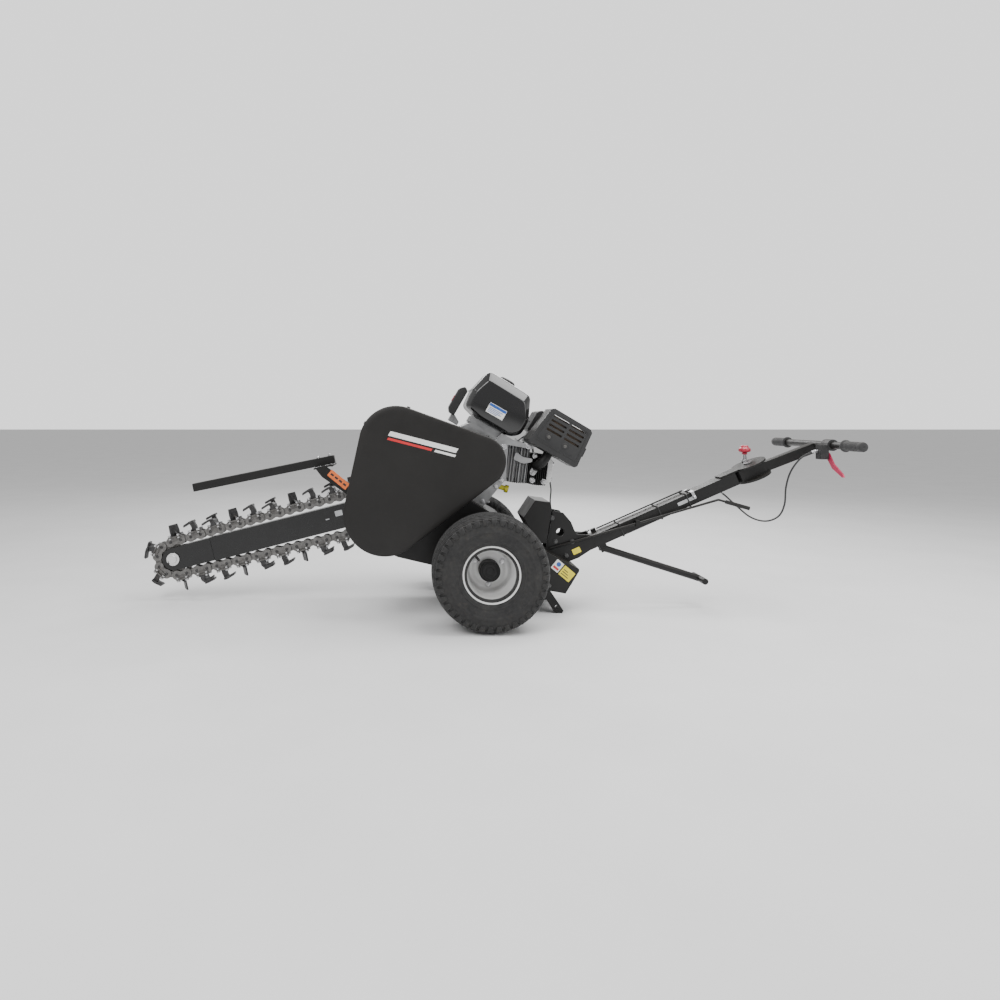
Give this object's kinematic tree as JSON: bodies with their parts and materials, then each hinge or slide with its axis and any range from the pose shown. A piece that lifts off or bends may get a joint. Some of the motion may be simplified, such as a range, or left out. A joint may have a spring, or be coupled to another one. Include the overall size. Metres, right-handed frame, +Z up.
{
  "type": "walk-behind chain trencher",
  "caption": "Walk-behind chain trencher: petrol engine and covered drive on two turf tyres, toothed digging boom ahead, swivelling T-handle behind.",
  "frame": {"origin": "centre of the machine's box, on the ground", "axes": "+Z up, +X from the digging boom to the handle, +Y to the right of someone who holds the handle and looks at the boom"},
  "size_m": [2.4718, 0.76, 0.8401],
  "materials": {
    "chassis_paint": "satin black powder coat",
    "cover_paint": "fine textured satin black",
    "boom_paint": "semi-gloss black, worn at the edges",
    "tyre_rubber": "matt, dusty in the tread",
    "rim_paint": "silver-white enamel",
    "machined_steel": "zinc plated and machined",
    "chain_steel": "heat-darkened steel",
    "cast_alloy": "as cast",
    "engine_black": "heat-resistant black",
    "tank_enamel": "high gloss black",
    "guard_paint": "matt dark grey",
    "muffler_steel": "heat-stained",
    "black_plastic": "moulded",
    "grip_rubber": "moulded grip",
    "cable_jacket": "smooth jacket",
    "knob_red": "glossy crimson",
    "lever_pink": "translucent red lacquer",
    "dipstick_yellow": "glossy"
  },
  "bodies": {
    "root": {"axle": "machined_steel", "chassis": "chassis_paint", "head_bearing_left": "machined_steel", "head_bearing_right": "machined_steel", "counter_bearing": "machined_steel", "left_support_leg": "chassis_paint", "right_support_leg": "chassis_paint", "tool_box": "chassis_paint", "rear_frame": "chassis_paint", "drive_cover": "cover_paint", "drive_back_plate": "chassis_paint", "drive_belt": "cable_jacket", "drive_chain": "chain_steel", "digging_chain": "chain_steel", "boom_beam": "boom_paint", "engine_block": "cast_alloy", "cylinder_head": "engine_black", "rocker_cover": "cast_alloy", "oil_dipstick": "dipstick_yellow", "fuel_tank": "tank_enamel", "air_cleaner": "black_plastic", "carburettor": "cast_alloy", "muffler_guard": "guard_paint", "muffler": "muffler_steel", "recoil_housing": "engine_black", "mast_tube": "chassis_paint", "swivel_pin": "machined_steel", "clutch_cable_loop": "cable_jacket", "clutch_cable_run": "cable_jacket", "throttle_cable": "cable_jacket"},
    "left_wheel": {"left_tyre": "tyre_rubber", "left_wheel_rim": "rim_paint"},
    "right_wheel": {"right_tyre": "tyre_rubber", "right_wheel_rim": "rim_paint"},
    "crank": {"crankshaft": "machined_steel", "crank_pulley": "machined_steel", "flywheel_fan": "cast_alloy"},
    "counter": {"countershaft": "machined_steel", "counter_pulley": "machined_steel"},
    "head": {"head_shaft": "machined_steel", "digging_sprocket": "chain_steel"},
    "belt_tensioner": {"tension_arm": "machined_steel"},
    "tensioner_wheel": {"tension_pulley": "black_plastic"},
    "nose": {"nose_yoke": "boom_paint", "nose_bolt": "machined_steel"},
    "idler": {"nose_idler": "chain_steel"},
    "guard": {"guard_arm": "chassis_paint", "guard_bar": "chassis_paint"},
    "filler_cap": {"fuel_cap": "black_plastic"},
    "handle": {"upper_handle": "chassis_paint", "left_grip": "grip_rubber", "right_grip": "grip_rubber", "lever_perch": "black_plastic"},
    "lever": {"clutch_lever": "lever_pink"},
    "lock": {"lock_plunger": "knob_red"},
    "shifter": {"shift_rod": "chassis_paint"},
    "throttle": {"throttle_lever": "machined_steel"},
    "throttle_link": {"throttle_rod": "chassis_paint"},
    "stand": {"parking_stand": "chassis_paint"}
  },
  "joints": [
    {"name": "left_wheel_spin", "type": "hinge", "parent": "root", "child": "left_wheel", "pos_m": [0.01191, -0.305, 0.1865], "axis": [0, 1, 0], "continuous": true},
    {"name": "right_wheel_spin", "type": "hinge", "parent": "root", "child": "right_wheel", "pos_m": [0.01191, 0.305, 0.1865], "axis": [0, 1, 0], "continuous": true},
    {"name": "head_shaft_spin", "type": "hinge", "parent": "root", "child": "head", "pos_m": [-0.32509, 0, 0.356], "axis": [0, 1, 0], "continuous": true, "deforming": ["digging_chain", "drive_chain"]},
    {"name": "counter_shaft_spin", "type": "hinge", "parent": "root", "child": "counter", "pos_m": [-0.28959, 0, 0.594], "axis": [0, 1, 0], "continuous": true, "deforming": ["drive_belt"]},
    {"name": "crankshaft_spin", "type": "hinge", "parent": "root", "child": "crank", "pos_m": [-0.01059, 0, 0.532], "axis": [0, 1, 0], "continuous": true},
    {"name": "nose_tension_slide", "type": "slide", "parent": "root", "child": "nose", "axis": [-0.969, 0, -0.247], "range_m": [0, 0.02]},
    {"name": "nose_idler_spin", "type": "hinge", "parent": "nose", "child": "idler", "pos_m": [-1.11629, 0.08, 0.15432], "axis": [0, 1, 0], "continuous": true},
    {"name": "clutch_lever_squeeze", "type": "hinge", "parent": "handle", "child": "lever", "pos_m": [1.20691, -0.098, 0.546], "axis": [1, 0, 0], "range_deg": [-30, 0], "stiffness_Nm_per_rad": 1.5, "springref_deg": 11.46},
    {"name": "belt_tension_swing", "type": "hinge", "parent": "root", "child": "belt_tensioner", "pos_m": [-0.09809, -0.197, 0.43], "axis": [0, 1, 0], "range_deg": [0, 4.2]},
    {"name": "tension_pulley_spin", "type": "hinge", "parent": "belt_tensioner", "child": "tensioner_wheel", "pos_m": [-0.17469, -0.213, 0.4528], "axis": [0, 1, 0], "continuous": true},
    {"name": "guard_swing", "type": "hinge", "parent": "root", "child": "guard", "pos_m": [-0.43409, 0.011, 0.398], "axis": [0, 1, 0], "range_deg": [0, 40]},
    {"name": "fuel_cap_turn", "type": "hinge", "parent": "root", "child": "filler_cap", "pos_m": [0.11243, 0.05, 0.80508], "axis": [0.5, 0, 0.866], "range_deg": [0, 90]},
    {"name": "handle_swivel", "type": "hinge", "parent": "root", "child": "handle", "pos_m": [0.98684, 0, 0.48617], "axis": [-0.4035, 0, 0.915], "range_deg": [-22, 22], "deforming": ["clutch_cable_loop"]},
    {"name": "lock_plunger_lift", "type": "slide", "parent": "root", "child": "lock", "axis": [0, 0, 1], "range_m": [0, 0.012], "stiffness_N_per_m": 800, "springref_m": -0.01},
    {"name": "shift_rod_slide", "type": "slide", "parent": "root", "child": "shifter", "axis": [0.9604, 0, 0.2785], "range_m": [0, 0.03]},
    {"name": "throttle_lever_swing", "type": "hinge", "parent": "root", "child": "throttle", "pos_m": [0.76021, 0, 0.41025], "axis": [-0.4035, 0, 0.915], "range_deg": [-20, 20]},
    {"name": "throttle_rod_slide", "type": "slide", "parent": "root", "child": "throttle_link", "axis": [0.915, 0, 0.4035], "range_m": [-0.0085, 0.0085]},
    {"name": "parking_stand_fold", "type": "hinge", "parent": "root", "child": "stand", "pos_m": [0.45291, 0, 0.207], "axis": [0, 1, 0], "range_deg": [-40, 15]}
  ],
  "couplings": [
    {"joint": "counter_shaft_spin", "follows": "head_shaft_spin", "ratio": 3.0526},
    {"joint": "crankshaft_spin", "follows": "head_shaft_spin", "ratio": 6.1053},
    {"joint": "nose_idler_spin", "follows": "head_shaft_spin", "ratio": 1.2},
    {"joint": "belt_tension_swing", "follows": "clutch_lever_squeeze", "ratio": -0.14},
    {"joint": "throttle_rod_slide", "follows": "throttle_lever_swing", "m_per_rad": -0.024}
  ]
}
